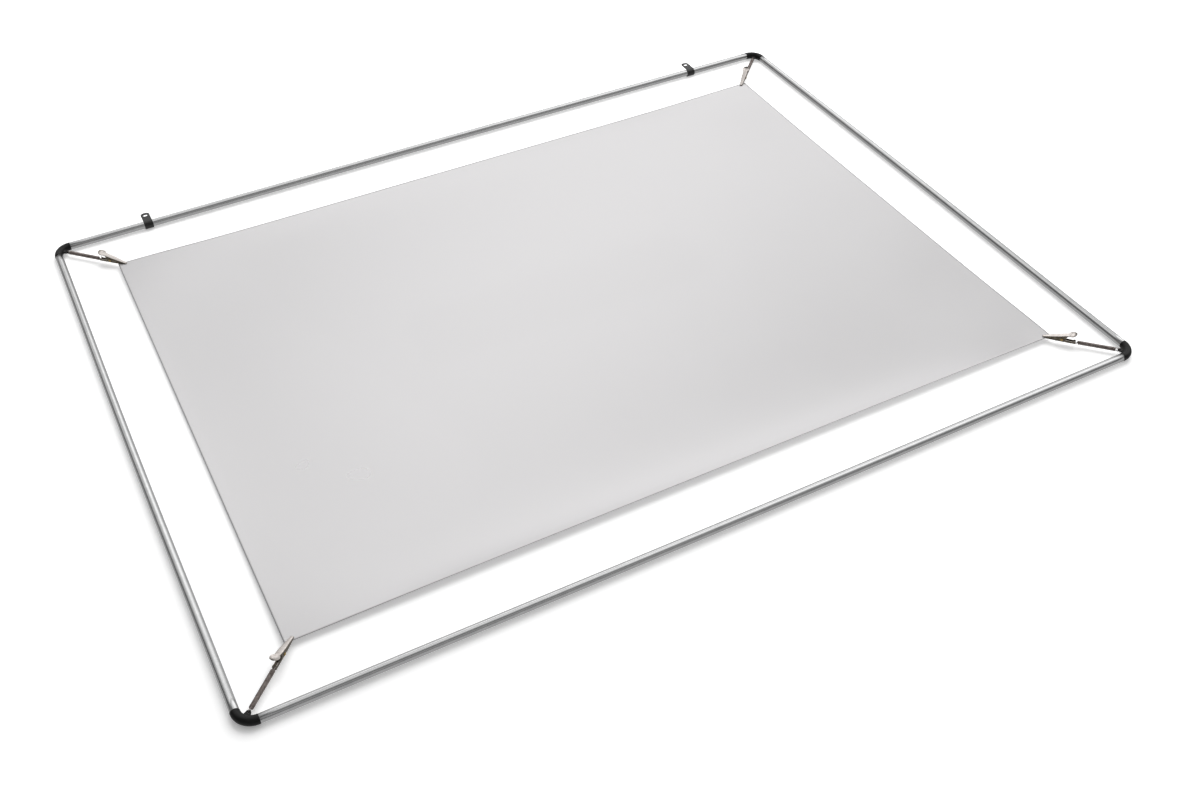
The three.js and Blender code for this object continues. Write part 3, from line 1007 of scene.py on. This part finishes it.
def add_floor():
    """White floor that glows a little where the photographer's light would overexpose it."""
    half = FLOOR_HALF
    outline = [(-half, -half, 0), (half, -half, 0), (half, half, 0), (-half, half, 0)]
    floor = new_mesh("floor", outline, [(0, 1, 2, 3)])
    made, tree, shader = nodes_of("white_floor")
    clouds = texture(tree, "ShaderNodeTexNoise", 3, Detail=2)
    colour = ramp(tree, clouds, [(0.3, grey(0.93)), (0.7, grey(0.95))])
    tree.links.new(colour, shader.inputs["Base Color"])
    shader.inputs["Roughness"].default_value = 0.9
    shader.inputs["Specular IOR Level"].default_value = 0.1
    shader.inputs["Emission Color"].default_value = (1, 1, 1, 1)
    where = tree.nodes.new("ShaderNodeTexCoord")
    away = tree.nodes.new("ShaderNodeVectorMath")
    away.operation = "DOT_PRODUCT"
    away.inputs[1].default_value = KEY_DIRECTION
    tree.links.new(where.outputs["Object"], away.inputs[0])
    near = spread(tree, away.outputs["Value"], *FLOOR_GLOW, -FLOOR_GLOW_REACH, FLOOR_GLOW_REACH)
    distance = tree.nodes.new("ShaderNodeVectorMath")
    distance.operation = "LENGTH"
    tree.links.new(where.outputs["Object"], distance.inputs[0])
    far = spread(tree, distance.outputs["Value"], 0, 1, *FLOOR_FAR)
    glow = tree.nodes.new("ShaderNodeMath")
    glow.operation = "ADD"
    tree.links.new(near, glow.inputs[0])
    tree.links.new(far, glow.inputs[1])
    tree.links.new(glow.outputs[0], shader.inputs["Emission Strength"])
    dim = tree.nodes.new("ShaderNodeEmission")
    dim.inputs["Color"].default_value = (*grey(FLOOR_MIRRORED), 1)
    seen = tree.nodes.new("ShaderNodeLightPath")
    mix = tree.nodes.new("ShaderNodeMixShader")
    tree.links.new(seen.outputs["Is Glossy Ray"], mix.inputs["Fac"])
    tree.links.new(shader.outputs["BSDF"], mix.inputs[1])
    tree.links.new(dim.outputs["Emission"], mix.inputs[2])
    tree.links.new(mix.outputs["Shader"], tree.nodes["Material Output"].inputs["Surface"])
    floor.data.materials.append(made)
    floor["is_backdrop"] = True


def add_world():
    """Bright towards the key, dark just past overhead, grey in front, and a long soft strip."""
    world = bpy.data.worlds.new("studio")
    bpy.context.scene.world = world
    world.use_nodes = True
    tree = world.node_tree
    back = tree.nodes["Background"]
    where = tree.nodes.new("ShaderNodeTexCoord")

    def facing(direction):
        dot = tree.nodes.new("ShaderNodeVectorMath")
        dot.operation = "DOT_PRODUCT"
        dot.inputs[1].default_value = direction
        tree.links.new(where.outputs["Generated"], dot.inputs[0])
        return dot.outputs["Value"]

    def times(first, second):
        made = tree.nodes.new("ShaderNodeMix")
        made.data_type = "RGBA"
        made.blend_type = "MULTIPLY"
        made.inputs["Factor"].default_value = 1
        tree.links.new(first, made.inputs["A"])
        tree.links.new(second, made.inputs["B"])
        return made.outputs["Result"]

    light = None
    for direction, stops in (
        (KEY_DIRECTION, ROOM_STOPS),
        (STRIP_NORMAL, STRIP_STOPS),
        (STRIP_ALONG, END_STOPS),
        (UP, HEIGHT_STOPS),
    ):
        share = spread(tree, facing(direction), 0, 1, -1, 1)
        factor = ramp(tree, share, stops)
        light = times(light, factor) if light else factor
    tree.links.new(light, back.inputs["Color"])
    back.inputs["Strength"].default_value = ROOM_STRENGTH
    plain = tree.nodes.new("ShaderNodeBackground")
    plain.inputs["Color"].default_value = (1, 1, 1, 1)
    seen = tree.nodes.new("ShaderNodeLightPath")
    mix = tree.nodes.new("ShaderNodeMixShader")
    tree.links.new(seen.outputs["Is Camera Ray"], mix.inputs["Fac"])
    tree.links.new(back.outputs["Background"], mix.inputs[1])
    tree.links.new(plain.outputs["Background"], mix.inputs[2])
    tree.links.new(mix.outputs["Shader"], tree.nodes["World Output"].inputs["Surface"])


def add_key_light():
    """The key. Shiny pieces mirror the world's bright side instead of its disk."""
    data = bpy.data.lights.new("key", "AREA")
    data.shape = "DISK"
    data.size = KEY_SIZE
    data.energy = KEY_POWER
    made = bpy.data.objects.new("key", data)
    bpy.context.scene.collection.objects.link(made)
    made.location = KEY_PLACE
    aim = Vector(KEY_TARGET) - Vector(KEY_PLACE)
    made.rotation_euler = aim.to_track_quat("-Z", "Y").to_euler()
    made.visible_glossy = False


def add_camera():
    """Where the photographer stood, by the front left corner."""
    data = bpy.data.cameras.new("camera")
    data.sensor_width = 36
    data.lens = CAMERA_LENS
    data.clip_start, data.clip_end = 0.01, 100
    made = bpy.data.objects.new("camera", data)
    bpy.context.scene.collection.objects.link(made)
    heading, downwards, roll = (math.radians(a) for a in CAMERA_TURN)
    turn = Matrix.Rotation(heading, 4, "Z")
    turn @= Matrix.Rotation(math.pi / 2 - downwards, 4, "X")
    turn @= Matrix.Rotation(roll, 4, "Z")
    corner = corner_matrix("front_left").translation
    made.matrix_world = Matrix.Translation(corner + CAMERA_FROM_CORNER * MM) @ turn
    bpy.context.scene.camera = made


add_tubes()
add_corners()
add_hangers()
add_sheet()
add_floor()
add_world()
add_key_light()
add_camera()
scene = bpy.context.scene
scene.view_settings.view_transform = "Standard"
scene.view_settings.look = "None"

boxes = {"cad": CAD_BOX, "visual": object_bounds()}
{k: [list(c) for c in pair] for k, pair in boxes.items()}
